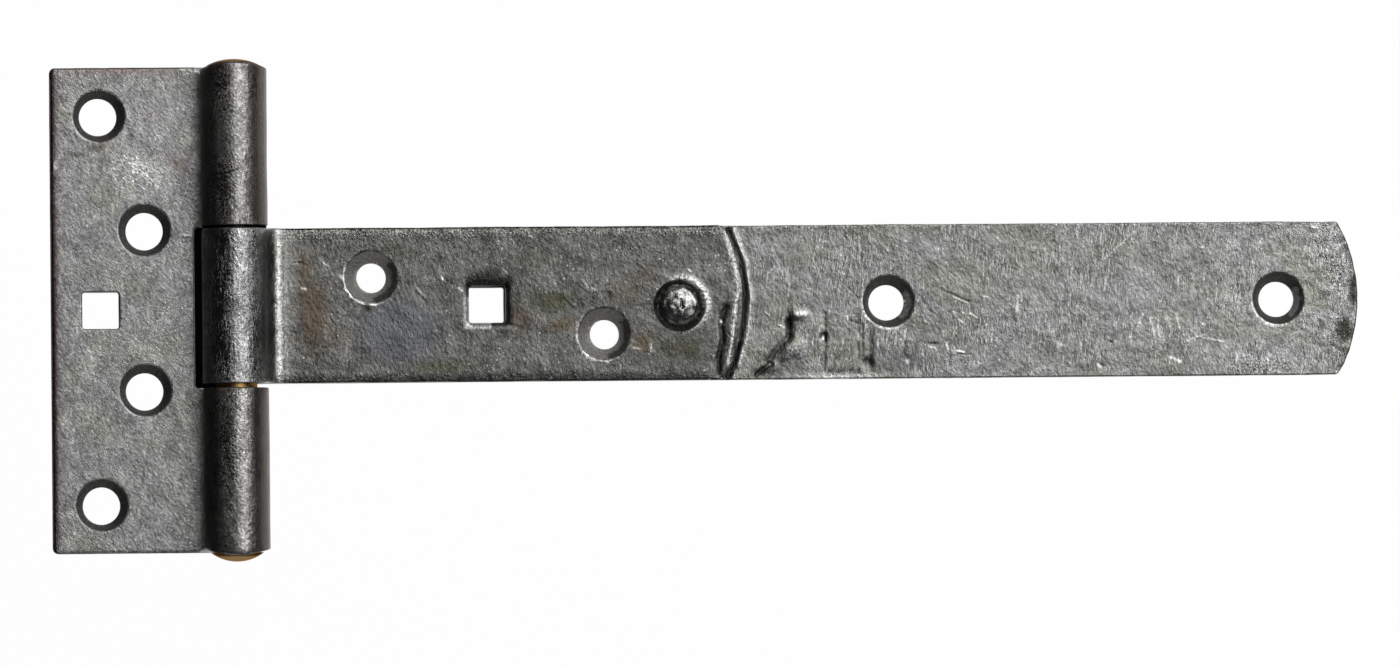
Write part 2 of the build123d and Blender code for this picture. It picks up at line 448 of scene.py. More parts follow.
def make_strap_zinc():
    """Brushed grey zinc on the single layer, darker and browner on the lap."""
    skin = Skin("strap_zinc", (0.176, 0.176, 0.166), 0.33)
    lap = skin.painted("lap")
    barrel = skin.painted("barrel")
    along = add_node(skin.tree, "SeparateXYZ", {0: skin.place}).outputs[0]
    # Painted light: the strap lighter towards its tip
    skin.tint(spread(skin.tree, along, 0.20, 0.32), (0.204, 0.205, 0.197))
    skin.hues((14, 9, 9), 20, 0.48, {0.62: (0.156, 0.156, 0.132), 0.36: (0.190, 0.192, 0.201)}, 0.6)
    skin.tint(lap, (0.117, 0.116, 0.109))
    skin.tint(barrel, (0.275, 0.270, 0.268))
    skin.gloss(barrel, 0.22)
    skin.relief(skin.grain((0.55, 0.7, 0.55)), 0.10, barrel)
    lay_zinc(skin, -20, 1.1)
    single = calculate(skin.tree, "SUBTRACT", 1.0, calculate(skin.tree, "MAXIMUM", lap, barrel))
    skin.shade(skin.grain((7.0, 4.0, 5.0), 30), 0.80, 1.18, lap)
    skin.scuffs((0.22, 3.6, 0.3), 8, 0.23, (0.40, 0.40, 0.39), skin.share(single, 0.65), 0.02)
    skin.scuffs((0.22, 3.0, 0.3), -6, 0.13, (0.05, 0.05, 0.046), skin.share(single, 0.6), -0.02)
    skin.scuffs((0.22, 1.6, 0.3), -38, 0.13, (0.40, 0.40, 0.39), skin.share(lap, 0.5), 0.02)
    lay_marks(skin, strap_stains)
    return skin.finish()


def make_rivet_zinc():
    """Hammered head, bright on its blows, with painted shade dark at its foot."""
    skin = Skin("rivet_zinc", (0.26, 0.26, 0.252), 0.27)
    fine = skin.grain((0.5, 0.5, 0.5))
    skin.shade(fine, 0.7, 1.35)
    skin.relief(fine, 0.06)
    # Painted shade at the head's foot, in its countersink
    skin.tint("dirt_and_shade", near_black)
    return skin.finish()


def make_pin_metal():
    """Brownish passivated steel, with painted shade near black at the foot of its heads and in the upper gap.
    """
    skin = Skin("pin_metal", (0.34, 0.20, 0.07), 0.34)
    fine = skin.grain((0.5, 0.5, 0.5))
    skin.shade(fine, 0.5, 1.3)
    skin.relief(fine, 0.04)
    skin.tint("head", (0.30, 0.205, 0.125))
    # Painted shade at the foot of the heads and in the upper gap
    skin.tint("foot", (0.02, 0.018, 0.016))
    material = skin.finish()
    material.node_tree.nodes["Principled BSDF"].inputs["Specular Tint"].default_value = (0.55, 0.42, 0.30, 1)
    return material


# Marks painted on the faces, in millimetres

# Lines, by their width: start, run, strength (above 0 bare zinc, below 0 dirt) and relief
# On the single layer
strap_lines = {
    0.28: [
        (172.3, 8.3, 1.4, 1.4, 0.4, 0.03), (176, 8.8, -0.4, -1.9, 0.45, 0.03),
        (177.4, 9.7, -0.6, -2.8, 0.5, 0.03), (177.6, 5.5, -0.3, -3.2, 0.45, 0.03),
        (192.9, 4.5, 2.8, -3, -0.65, -0.05), (194.2, -17.1, 4.6, -1.1, -0.4, 0),
        (213.3, -1.2, 2.5, -1.7, -0.6, -0.05), (220.2, 1.8, 3.7, -1.7, 0.5, 0.03),
        (237, 2.1, -0.2, -4.3, 0.75, 0.03), (237.8, 2.8, 0.1, -2.3, 0.6, 0.03),
        (256.5, 8.5, 2.9, 2.6, 0.25, 0.02), (259.4, 11.1, 8.2, 7.4, 0.45, 0.03),
        (269.5, -3, -2, -4.8, 0.45, 0.03), (271.4, -4, 0.9, -4.3, 0.5, 0.03),
        (273.3, -4, 0.4, -4.8, 0.55, 0.03), (275.7, -4, 1.4, -3.9, 0.5, 0.03),
        (278.2, 4.5, 1, 2.4, 0.4, 0.03), (278.3, -3.1, 0.7, -3.8, 0.5, 0.03),
        (279.4, -10.7, 6.3, 2.3, 0.4, 0.03), (283.3, -8.9, 7.1, -1.5, 0.5, 0.03),
        (300.6, 16.2, -0.5, -2.1, 0.45, 0.03),
    ],
    0.3: [
        (171.3, -1.8, 1.1, -0.8, 0.6, 0.05), (174.7, -5, 1.6, -0.9, 0.7, 0.05),
        (193, -4, 3.6, -1.2, -0.6, -0.05), (200.5, -9.3, 0, -2, 0.7, 0.05),
        (200.8, -9.6, 0, -1.7, -0.6, -0.05), (217.7, 3.5, 6.7, -3, -0.75, -0.06),
        (218.4, -10, 0.2, -1.8, 0.7, 0.05), (219.1, -10.2, 0.2, -5.7, -0.55, -0.05),
        (220.2, -2.1, 0.7, -1.2, 0.6, 0.05), (221.1, -13, 3.6, -0.1, -0.6, -0.05),
        (221.2, -12.2, 1.7, -0.4, 1, 0.06), (222.5, -2.2, 0.3, -0.4, 0.7, 0.03),
        (224.7, -2.6, 1.5, -1, 0.6, 0.05), (317.8, -10.6, 3.8, -2.9, -0.6, -0.06),
    ],
    0.35: [
        (186.3, -7.9, 0, -0.9, 0.8, 0.05), (186.9, -2.3, 0, -13.4, -0.25, -0.04),
        (195.4, -7.5, 0, -1.6, 0.9, 0.05), (211.5, 2.3, 1.5, -2.3, -0.7, -0.06),
        (213.6, -10.1, 2.1, -0.2, -0.8, -0.06), (213.8, -11.1, 1.4, -0.3, 0.6, 0.05),
        (215.7, 14.7, 0.7, -0.6, 0.7, 0.03), (221.6, -4.2, 1.3, -1, 0.9, 0.05),
        (228.1, 1.9, 0.8, -0.3, 0.8, 0.03), (262, -10, 0.3, -0.3, 1, 0.06),
        (284.9, 14.1, 0.3, -0.1, 0.9, 0.05),
    ],
    0.4: [
        (192, 17.8, 0.6, -0.8, -0.6, -0.05), (192.5, -3.1, 0.1, -0.7, 1, 0.06),
        (208, -14.6, 0.2, -0.7, 0.8, 0.06), (258.3, -15.7, 0.7, -0.7, -0.9, -0.08),
        (265.9, -8.8, 0.2, -0.3, 0.8, 0.05), (285, -5.7, 0.3, -0.3, 1, 0.06),
        (314.5, -4.4, 0.7, -1.9, 0.5, 0.03), (321.2, 14.4, 1.4, 0.7, 0.7, 0.05),
    ],
    0.45: [
        (196.6, -5.2, 0, -8.2, -0.6, -0.08), (246.2, 16, 0.4, -0.1, -0.6, -0.05),
        (247.2, -11.5, 0.8, 0.6, 0.6, 0.05), (257.7, -16.2, 0.4, -0.5, 1, 0.08),
        (261, -10.1, 0.5, 0, -1, -0.1),
    ],
    0.5: [
        (276.4, -14.4, 2.6, -1.1, 0.85, 0.06), (296.3, -2.3, 1.4, -1.9, -0.4, -0.06),
        (313.8, 19.2, 1.4, -0.3, 0.7, 0.05),
    ],
    0.6: [(235.1, -1.8, 1, -2.8, -0.45, -0.05)],
    0.7: [(186.9, -7.5, 0, -1.7, -0.9, -0.13)],
    0.9: [(207.6, -10.1, 0.2, -3.4, -0.6, -0.08)],
    1.3: [(197.2, -14.6, 1.7, -0.9, -0.65, -0.08)],
}
# On the lap
lap_lines = {
    0.28: [
        (62.5, 7.3, 0.3, -1.9, 0.5, 0.03), (67.6, 14.3, 2.1, 0.5, 0.4, 0.03),
        (71.9, 14.3, 2.5, -1.4, 0.5, 0.03), (77, -9.3, 1.4, -1.1, 0.6, 0.05),
        (80.7, 6.3, 1.8, -3.2, 0.45, 0.03),
    ],
    0.3: [
        (56.2, 13, 1.7, -1.9, 0.4, 0.03), (58.8, -9.2, 1.2, -2.4, 0.5, 0.03),
        (64.2, 10.7, 0.7, -1.1, 0.6, 0.05), (83.7, 0.5, 3.2, -6.6, -0.35, -0.05),
        (87.6, -6.8, 0.5, -0.4, 0.7, 0.03), (87.6, 8.3, 0.4, -1, 0.8, 0.03),
        (103.4, 9.8, 1.2, -1.1, 0.5, 0.03), (113.8, -14.8, 0.4, -1.5, 0.35, 0.03),
        (129.1, -2.7, 0.2, -0.9, 0.4, 0.03), (151.4, 9.4, 0.5, -0.7, 0.7, 0.03),
        (156.9, -12.6, 0.7, -0.5, 0.6, 0.03),
    ],
    0.32: [(62.6, 5.2, 2.2, -2.7, 0.95, 0.05)],
    0.35: [
        (49.9, 11.9, 2.3, -0.2, -0.45, -0.05), (63.6, 8, 0.3, -0.7, 0.8, 0.05),
        (66.9, -9.5, 0.6, -0.6, 0.9, 0.05), (91.9, 4.9, 0.9, -0.7, 0.8, 0.05),
        (121.4, 0.9, 0.3, -0.3, 0.9, 0.05), (123.9, 6.8, 1.4, -1.9, 0.45, 0.05),
        (126.3, 4.7, 0.7, -0.5, 0.6, 0.05), (137, -10.8, 1.4, -0.4, 0.36, 0.05),
        (141.3, -9.9, 0.4, -1.9, 0.6, 0.05),
    ],
    0.4: [
        (51.7, 5.2, 0.7, -0.3, 1, 0.05), (80.9, 4.2, 2.8, -2.7, -0.5, -0.06), (87.6, 8, 2.5, -2, -0.7, -0.08),
        (93.7, -2.4, 0.5, -1.4, 0.9, 0.05), (97.6, -5.3, 2.1, -0.7, 0.6, 0.03),
        (159.4, -3.9, 1, -1.2, 0.8, 0.06),
    ],
    0.45: [(48.7, -5.8, 1.5, -0.5, -0.64, -0.05)],
    0.5: [(110.3, 18.2, 0.7, -0.5, 0.5, 0.05), (118.7, 2.1, 2.8, -2.4, -0.4, -0.06)],
    0.55: [(95, -4.5, 2.3, -0.8, 0.95, 0.05)],
    0.6: [(130.5, 3.4, 0.5, -1.1, -0.5, -0.06)],
    0.9: [(68.1, 0.6, 0.5, -1.4, -0.5, -0.05)],
}
flap_lines = {
    0.28: [
        (20.9, 18.8, 2.6, -0.3, -0.7, -0.03), (20.9, 19.4, 2.6, -0.3, 0.9, 0.03),
        (35.3, 21.4, 0.3, 1.2, -0.6, -0.04), (35.6, 22.6, 1.4, 0, -0.6, -0.04),
        (37, 22.6, 0.3, -1.2, -0.6, -0.04),
    ],
    0.3: [(32.6, 34.7, 2.8, 1, -0.9, -0.06)],
    0.35: [(28.6, 34.2, 4, 0.5, -1, -0.08)],
    0.4: [(-11.8, 38, 0.3, -1.4, 0.7, 0.04)],
    0.45: [(24.6, 61.4, 1.2, -0.4, 0.8, 0.05)],
    0.5: [(21.2, 61.9, 2.2, 0, 0.9, 0.05)],
}

# Stains, by their colour: centre, reach along X and along Y, and strength
lap_stains = {
    "slate": [(76.5, -5.6, 11, 9, 1)],
    "brown": [
        (54.5, -2, 4.2, 11, 0.85), (59.5, -7, 4, 6, 0.5), (108, -3, 3.2, 5, 0.7), (141, 8, 3, 3, 0.55),
        (131, 2.6, 1.4, 2.2, 0.6),
    ],
    "tan": [
        (52.5, 9, 3, 8, 0.6), (118.6, -4.6, 4.4, 2.2, 0.75), (139, -9.4, 4, 3.4, 0.7), (136, 4, 5, 5, 0.4),
    ],
    "olive": [
        (116, 1.4, 7, 3.4, 0.8), (74, 14.5, 8, 2.4, 0.5), (86, -15, 11, 2.4, 0.65), (149.5, -11, 7, 4, 0.7),
        (112, 12, 9, 4, 0.4),
    ],
    "smudge": [
        (100, 8.6, 7, 2.2, 0.65), (107.2, 2, 1.6, 5, 0.6), (68.6, 0.2, 1.6, 1.5, 0.7),
        (110, -17.6, 40, 1.6, 0.45),
    ],
}
strap_stain_places = {
    "smudge": [
        (322, -7.5, 2.6, 4.2, 1), (324.4, 2.6, 1.1, 5.5, 1), (318, -11.5, 4, 0.6, 0.6),
        (171.5, -17, 4, 1.8, 0.75), (190.6, -17.2, 8, 1.4, 0.55), (278, -18.6, 4, 1.2, 0.5),
    ],
    "olive": [(190, -13.5, 8, 5, 0.35), (207, -4, 12, 3, 0.25)],
    "tan": [(195, 12, 10, 5, 0.22)],
    "slate": [(207, -14.6, 8, 4, 0.55), (170, 0, 3, 14, 0.4), (281, 8, 10, 9, 0.35)],
}
flap_stain_places = {
    "brown": [(0.6, 42.2, 1.6, 1.3, 0.8), (20.4, 37.6, 3.4, 2.8, 0.6)],
    "smudge": [
        (-1.4, 41.9, 2.6, 1.1, 0.6), (-5.4, 40.2, 3.4, 1.2, 0.62), (3.4, 59.4, 5, 1.8, 0.35),
        (6, -14.6, 16, 0.8, 0.25),
    ],
    "rosy": [(5, 61.7, 24, 1.1, 0.75), (-11.2, 10, 1, 60, 0.6)],
}


def lines_of(table):
    """A table's lines: their two ends, strength, relief and width."""
    return [([(x, y), (x + run_x, y + run_y)], strength, relief, width)
            for width, lines in table.items() for x, y, run_x, run_y, strength, relief in lines]


def lines_at(table):
    """A function that gives the bare zinc, dirt and relief of a table's lines at a place."""
    strip, reach = 4.0, 1.5
    near = {}
    for line in lines_of(table):
        start, end = min(line[0])[0] - reach, max(line[0])[0] + reach
        for number in range(int(start // strip), int(end // strip) + 1):
            near.setdefault(number, []).append(line)

    def values(x, y):
        bright, dark, height = 0.0, 0.0, 0.0
        for ends, strength, relief, width in near.get(int(x // strip), ()):
            amount = crease(x, y, ends, 0.72 * width, 1)
            bright = max(bright, 1.4 * amount * strength)
            dark = max(dark, -amount * strength)
            height += amount * relief
        return bright, dark, height
    return values


def stain_at(table, colour, place):
    """Amount of a stain at a place."""
    amount = 0.0
    for centre_x, centre_y, reach_x, reach_y, strength in table.get(colour, ()):
        amount = max(amount, oval(place.x, place.y, (centre_x, centre_y), (reach_x, reach_y), strength))
    return amount


# Relief

def clamp(value):
    """The value kept between 0 and 1."""
    return max(0, min(1, value))


def ridge(gap, width, height):
    """Height of a soft ridge or groove, a gap away from its middle."""
    return height * exp(-(gap / width) ** 2)


def oval(x, y, centre, reach, height, turn=0.0):
    """Height at a place of a soft oval bulge, or of a dent."""
    along = (x - centre[0]) * cos(turn) + (y - centre[1]) * sin(turn)
    across = (y - centre[1]) * cos(turn) - (x - centre[0]) * sin(turn)
    return height * exp(-(along / reach[0]) ** 2 - (across / reach[1]) ** 2)


def line_gap(x, y, points):
    """Distance from a place to a line through points."""
    nearest = 1000.0
    for (ax, ay), (bx, by) in zip(points, points[1:]):
        run_x, run_y = bx - ax, by - ay
        share = clamp(((x - ax) * run_x + (y - ay) * run_y) / (run_x ** 2 + run_y ** 2))
        nearest = min(nearest, hypot(x - ax - share * run_x, y - ay - share * run_y))
    return nearest


def crease(x, y, points, width, height):
    """Height at a place of a soft ridge along a line, or of a groove."""
    return ridge(line_gap(x, y, points), width, height)


def sum_of(shape, table, x, y):
    """The heights of a table's ovals or creases at a place, added up."""
    return sum(shape(x, y, *row) for row in table)


def unevenness(place, size, height):
    """Soft unevenness of the sheet."""
    return height * noise.noise(Vector(place) / size)


def turned_down(gap, reach, depth):
    """Fall of the face towards an edge that lies a gap away."""
    return -depth * (1 - gap / reach) ** 2 if gap < reach else 0.0


flap_marks = lines_at(flap_lines)
strap_marks = lines_at(strap_lines)
lap_marks = lines_at(lap_lines)


def flap_relief(place, normal):
    """Relief in millimetres at a place on the flap."""
    height = unevenness(place, 8.0, 0.07) - 0.06
    height += unevenness(place, 2.6, 0.045 if place.z < sheet + 1 else 0.02)
    if normal.z > 0.3 and place.z > sheet - 0.6:
        height += flap_marks(place.x, place.y)[2]
        height += turned_down(place.x - flap_low.x, 1.5, 0.6)
        height += turned_down(flap_high.y - abs(place.y), 0.8, 0.25)
    return height


# Places on the strap
bend_foot_x = 45.6                        # where the bend meets the lap
lap_end_groove = [(162.0, 19.6), (165.3, 11.2), (166.3, 2.7), (165.6, -5.0), (162.8, -15.3), (161.2, -19)]
lap_end_lip = [(163.3, 19.3), (166.4, 11.0), (167.6, 2.0), (166.9, -6.5), (164.2, -15.4)]
lap_channel = [(161.0, -0.6), (159.7, -4.2), (160.0, -9.0), (159.0, -13.5), (158.8, -17.5)]
lap_bead = [(163.4, 1.3), (162.6, -6.4), (161.4, -15.4)]
lap_edge = [(161.4, 19.6), (163.6, 10.0), (164.2, 1.3)]
hooked_groove = [(177.6, -8.0), (174.6, -11.0), (171.9, -14.6)]
foot_groove = [(168.5, -18.2), (172.4, -15.2)]

# Forging marks on the single layer, past the end of the lap
# Creases: points, width and height
single_creases = [
    (lap_end_groove, 0.60, -0.6),
    (lap_end_lip, 0.6, 0.20),
    (hooked_groove, 0.9, -0.36),
    (foot_groove, 0.5, -0.30),
    ([(186.5, -2.4), (186.3, -16.8)], 0.6, -0.10),
    ([(195.3, -3.5), (195.1, -16.9)], 0.5, -0.12),
    ([(198.4, -5.0), (198.1, -16.9)], 0.9, -0.25),
]
# Ovals: centre, reach and height
single_ovals = [
    ((179.9, -2.5), (2.2, 1.3), 0.40),
    ((177.5, -4.8), (0.9, 3.2), -0.60),
    ((178.0, -11.2), (3.4, 2.9), 0.55),
    ((172.7, -15.3), (0.6, 0.6), -0.50),
    ((186.3, -8.3), (0.7, 0.9), -0.35),
    ((197.7, -15.0), (1.2, 1.2), -0.25),
]
# Where the single layer's zinc is rough, in the same form
single_crust = [
    ((320.4, 6.5), (3.4, 7.0), 0.9),
    ((321.0, -8.0), (3.4, 4.6), 0.7),
    ((316.0, 17.0), (4.0, 3.0), 0.5),
    ((299.0, -16.6), (8.0, 3.0), 0.9),
    ((293.5, -1.0), (3.0, 3.6), 0.45),
    ((190.0, strap_low.y + 0.8), (9.0, 0.8), 1.0),
    ((173.0, -14.9), (0.9, 0.9), 0.8),
    ((220.5, -13.2), (3.0, 1.6), 0.5),
    ((178.5, -11.5), (2.6, 2.4), 0.6),
]
# And where painted highlights lie on it
single_glints = [
    ((180.0, -2.2), (2.2, 0.6), 2.0),
    ((190.0, strap_low.y + 0.7), (8.5, 0.5), 1.8),
    ((173.0, -14.9), (0.6, 0.6), 2.4),
]


def drawn_in(x, y):
    """Fall of the lap's face into the square hole, deepest above it and on its right."""
    across, up = x - square_place.x, y - square_place.y
    right = 1 - max(0, abs(across) - square_half) / (2.4 if across > 0 else 1.7)
    above = 1 - max(0, abs(up) - square_half) / (3.2 if up > 0 else 1.9)
    share = max(0, min(right, above))
    if across > square_half or up > square_half:
        return -0.65 * share ** 2
    return -0.33 * share


def from_rivet(x, y, lean=0.0):
    """Distance from the rivet, and from 0 to 1 how far a place lies on its right, leaning up by a share."""
    x, y = x - rivet_place.x, y - rivet_place.y
    away = hypot(x, y)
    return away, max(0, (x + lean * y) / hypot(1, lean) / max(away, 0.1))


def lap_relief(x, y):
    """Marks on the lap: the bead and channel at its end, and the lip thrown up beside the rivet."""
    height = crease(x, y, lap_channel, 0.75, -0.42)
    height += crease(x, y, lap_bead, 0.9, 0.25)
    height += crease(x, y, lap_edge, 0.5, 0.08)
    height += turned_down(y - strap_low.y, 2.8, 0.38)
    height += turned_down(strap_high.y - y, 1.8, 0.30)
    height += ridge(x - bend_foot_x - 0.8, 1.1, 0.26)
    away, side = from_rivet(x, y, 0.6)
    return height + ridge(away - 7.0, 1.0, 0.30) * side ** 0.6 + lap_marks(x, y)[2]


def strap_relief(place, normal):
    """Relief in millimetres at a place on the strap."""
    x, y, z = place
    height = unevenness(place, 2.6, 0.05) + unevenness(place, 9.0, 0.10) - 0.08
    if x > 305:
        rough = 0.20 * min(1, (x - 305) / 12)
        height += unevenness(place, 1.9, rough) - rough / 2
    if normal.z > 0.3 and face_of(place) == "lap":
        height += lap_relief(x, y)
    if normal.z > 0.5 and z < sheet + 0.05 and x > single_start:
        height += sum_of(crease, single_creases, x, y) + sum_of(oval, single_ovals, x, y)
        height += strap_marks(x, y)[2]
    return height


def rivet_relief(place, normal):
    """Hammer blows on the rivet's head."""
    if place.z < lap_top - 2:
        return 0.0
    x, y = place.x - rivet_place.x, place.y - rivet_place.y
    height = unevenness(place, 1.6, 0.20) - 0.06
    height += crease(x, y, [(0.3, 1.4), (0.5, -0.6)], 0.30, -0.22)
    return height + ridge(hypot(x, y) - 4.2, 0.7, 0.14)


def face_of(place):
    """Which face a place on the strap belongs to: lap, single or neither."""
    if place.x > pin_place.x + 9.8 and place.z > lap_top - 1.6:
        return "lap"
    if place.x > single_start and sheet - 1.2 < place.z < sheet + 0.6:
        return "single"
    return ""


def strap_dirt_and_shade(place):
    """0 to 1: painted shade in the square hole and on its upper and right slopes, round the rivet's foot and
    in the strap's grooves, dents and tip rim, with the dark lines of the marks.
    """
    x, y = place.x, place.y
    face = face_of(place)
    # Painted shade on the walls of the square hole
    if max(abs(x - square_place.x), abs(y - square_place.y)) < 5.0 and place.z < lap_top - 0.9:
        return 0.95
    if face == "lap":
        # Painted shade in the countersink round the rivet's head
        if from_rivet(x, y)[0] < 6.7 and place.z < lap_top - 0.02:
            return 0.9
        # Painted shade in the channel at the lap's end, and the dark lines of the marks
        amount = crease(x, y, lap_channel, 0.75, 0.9) + lap_marks(x, y)[1]
        across, up = x - square_place.x, y - square_place.y
        # Painted shade on the slopes that fall into the square hole from above and from the right
        if across > 4.0 or up > 4.0:
            amount -= 1.4 * drawn_in(x, y)
        return min(1, amount)
    if face == "single":
        # Painted shade in the groove past the lap's end, the dent beside it, the forging grooves and along
        # the rim of the tip
        wander = 0.45 * noise.noise(Vector((0, y, 0)) / 1.9)
        amount = crease(x + wander, y, lap_end_groove, 0.50, 1.1) + strap_marks(x, y)[1]
        amount += oval(x, y, (177.5, -4.8), (0.9, 3.2), 1.2)
        amount += crease(x, y, hooked_groove, 0.8, 0.55) + crease(x, y, foot_groove, 0.45, 0.55)
        if x > strap_high.x - 10:
            rim = hypot(x - (strap_high.x - lap_end_arc), y - strap_middle)
            amount += 0.85 * clamp((rim - lap_end_arc + 0.6) / 0.3)
        return min(1, amount)
    return 0.0


def strap_bright(place):
    """0 to 1: painted highlights on the strap's ridges and edges, and bare zinc on its fresh scratches."""
    x, y = place.x, place.y
    face = face_of(place)
    broken = 0.55 + 0.9 * noise.noise(Vector((x, y, 0)) / 0.55)
    if face == "lap":
        # Painted highlights along the lap's rounded end and the bead below it
        amount = crease(x, y, lap_edge, 0.8, 1.7) + crease(x, y, lap_bead, 0.85, 2.2)
        # Painted highlight along the foot of the bend
        wander = 0.5 * noise.noise(Vector((0, y, 0)) / 1.3)
        amount += ridge(x - bend_foot_x + 0.1 - wander, 0.8, 2.0)
        # Painted highlight on the lip beside the rivet, on its right
        away, side = from_rivet(x, y, 0.5)
        amount += ridge(away - 7.1, 0.75, 2.2) * side ** 0.7
        # Painted highlights on the square hole's left and lower edges
        across, up = x - square_place.x, y - square_place.y
        if (across < -4 and up < 2) or (up < -4 and across < 1):
            return min(1, max(amount * broken, -4.5 * drawn_in(x, y)))
        return clamp(max(amount * broken, lap_marks(x, y)[0]))
    if face == "single":
        # Painted highlights along the lip past the lap's end and on the listed spots, and bare zinc of the
        # scratches
        amount = crease(x, y, lap_end_lip, 0.6, 1.3) + sum_of(oval, single_glints, x, y)
        return clamp(max(amount * broken, strap_marks(x, y)[0]))
    return 0.0


def at_holes(holes, value_at):
    """What gives a value at a place, from where it lies in a hole and from that hole's sizes."""
    def value(place):
        for centre, face_z, hole_r, rim_r, _ in holes:
            x, y = place.x - centre.x, place.y - centre.y
            if hypot(x, y) < rim_r + 1:
                return value_at(place, x, y, hypot(x, y), face_z, hole_r, rim_r)
        return 0.0
    return value


def rim_glint(place, x, y, away, face_z, hole_r, rim_r):
    """0 to 1: a painted highlight along the lower left of a hole's rim."""
    if abs(away - rim_r - 0.15) < 0.38 and place.z > face_z - 0.3:
        return clamp(-1.3 * (x + 0.8 * y) / away) * (0.55 + 1.1 * noise.noise(place / 0.9))
    return 0.0


def on_wall(place, x, y, away, face_z, hole_r, rim_r):
    """Whether a place is on the wall of a hole or of its countersink."""
    return away < rim_r - 0.1 and 0.05 < place.z < face_z - 0.12


def on_lit_wall(place, x, y, away, face_z, hole_r, rim_r):
    """0 to 1: painted light on the countersinks' walls: most of the lap's, and the right of the others'."""
    if not on_wall(place, x, y, away, face_z, hole_r, rim_r):
        return 0.0
    if face_z > sheet:
        return 0.0 if (x - 0.4 * y) / away > 0.55 and away > rim_r - 1.6 else 0.5
    return 0.45 if (x - 0.2 * y) / away > 0.75 and away < hole_r + 1.2 else 0.0


def strap_crust(place):
    """0 to 1: where the strap's zinc is rough and granular."""
    x, y = place.x, place.y
    face = face_of(place)
    if face == "lap":
        amount = clamp((y - strap_high.y + 3.4) / 1.6) + 0.35 * clamp((strap_low.y + 3.6 - y) / 2)
        amount += ridge(x - bend_foot_x, 1.0, 0.7)
        amount += crease(x, y, lap_edge, 0.9, 0.9) + crease(x, y, lap_bead, 0.7, 0.8)
        amount += ridge(from_rivet(x, y)[0] - 7.2, 0.8, 0.8) * (x > rivet_place.x)
        return min(1, amount)
    if face == "single":
        amount = sum_of(oval, single_crust, x, y) + crease(x, y, lap_end_lip, 0.5, 0.8)
        return min(1, amount + 0.6 * clamp((y - strap_high.y + 1.6) / 1.2))
    return 0.0


def flap_crust(place):
    """0 to 1: where the flap's zinc is rough and granular."""
    x, y, z = place
    if z < sheet - 0.8 or z > sheet + 0.4:
        return 0.0
    return min(1, oval(x, y, (23.6, 61.6), (3.4, 1.0), 1.0) + oval(x, y, (-11.6, 37.4), (0.8, 1.8), 0.8))


# Meshes

leaf_crease = radians(32)                 # corners sharper than this stay crisp
turned_crease = radians(50)               # the same on the rivet and the pin


def cad_copy(name):
    """A copy of a node's mesh, closed, with its flat faces whole."""
    bm = bmesh.new()
    bm.from_mesh(frame["nodes"][name].data)
    bmesh.ops.remove_doubles(bm, verts=bm.verts, dist=0.001 * mm)
    bmesh.ops.dissolve_limit(bm, angle_limit=radians(0.5), verts=bm.verts, edges=bm.edges)
    return bm


def round_rim(bm, centre, face_z, radius):
    """Take the sharpness off the mouth of a countersink."""
    rim = []
    for edge in bm.edges:
        ends = [vert.co / mm for vert in edge.verts]
        on_rim = [abs(hypot(end.x - centre.x, end.y - centre.y) - radius) < 0.03 for end in ends]
        level = [abs(end.z - face_z) < 0.01 for end in ends]
        if all(on_rim) and all(level):
            rim.append(edge)
    bmesh.ops.bevel(bm, geom=rim, offset=rim_round * mm, segments=2, profile=0.5, affect="EDGES", material=-1)


def shift_hole(bm, centre, face_z, radius, drift):
    """Move a hole a little off the middle of its countersink."""
    for vert in bm.verts:
        place = vert.co / mm
        if hypot(place.x - centre.x, place.y - centre.y) < radius + 0.1 and place.z < face_z - 0.2:
            vert.co.x += drift[0] * mm
            vert.co.y += drift[1] * mm


def cut_across(bm, faces, axis, at):
    """Cut faces by a plane across an axis, and give what lies below it and above it."""
    across = Vector((axis == 0, axis == 1, axis == 2))
    parts = set(faces)
    for face in faces:
        parts.update(face.verts)
        parts.update(face.edges)
    cut = bmesh.ops.bisect_plane(bm, geom=list(parts), plane_co=across * at * mm, plane_no=across,
                                 dist=0.0001 * mm)
    cut_faces = [part for part in cut["geom"] if isinstance(part, bmesh.types.BMFace)]
    below = [face for face in cut_faces if face.calc_center_median()[axis] < at * mm]
    above = [face for face in cut_faces if face.calc_center_median()[axis] >= at * mm]
    return below, above


def slice_up(bm, faces, axis, low, high, pitch):
    """Cut faces across an axis until no strip is wider than the pitch, or than the pitch at its place."""
    middle = (low + high) / 2
    if high - low <= (pitch(middle) if callable(pitch) else pitch) or not faces:
        return
    below, above = cut_across(bm, faces, axis, middle)
    slice_up(bm, below, axis, low, middle, pitch)
    slice_up(bm, above, axis, middle, high, pitch)


def slice_node(bm, node, choose, pitches):
    """Cut the chosen faces right through a node's box, across each axis in turn."""
    low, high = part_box(node)
    for axis, pitch in pitches:
        slice_up(bm, choose(bm), axis, low[axis] / mm, high[axis] / mm, pitch)


def whole(bm):
    return bm.faces[:]


def shrink_square(bm):
    """The back layer's square hole lies a little lower and further left than the lap's."""
    for vert in bm.verts:
        place = vert.co / mm
        across, up = place.x - square_place.x, place.y - square_place.y
        if max(abs(across), abs(up)) < 4.8 and place.z < sheet + 0.05:
            vert.co.x -= 0.03 * (across + square_half) * mm
            vert.co.y -= 0.03 * (up + square_half) * mm


def refine(bm, near):
    """Split the faces near the marks, so that a mark can be as narrow as it is."""
    faces = [face for face in bm.faces if face.normal.z > 0.6 and near(face.calc_center_median() / mm)]
    edges = {edge for face in faces for edge in face.edges}
    bmesh.ops.subdivide_edges(bm, edges=list(edges), cuts=2, use_grid_fill=True)


def by_hole(place):
    """Whether a place is beside the rivet or the square hole, where the lap's face turns."""
    return (from_rivet(place.x, place.y)[0] < 9
            or max(abs(place.x - square_place.x), abs(place.y - square_place.y)) < 8.5)


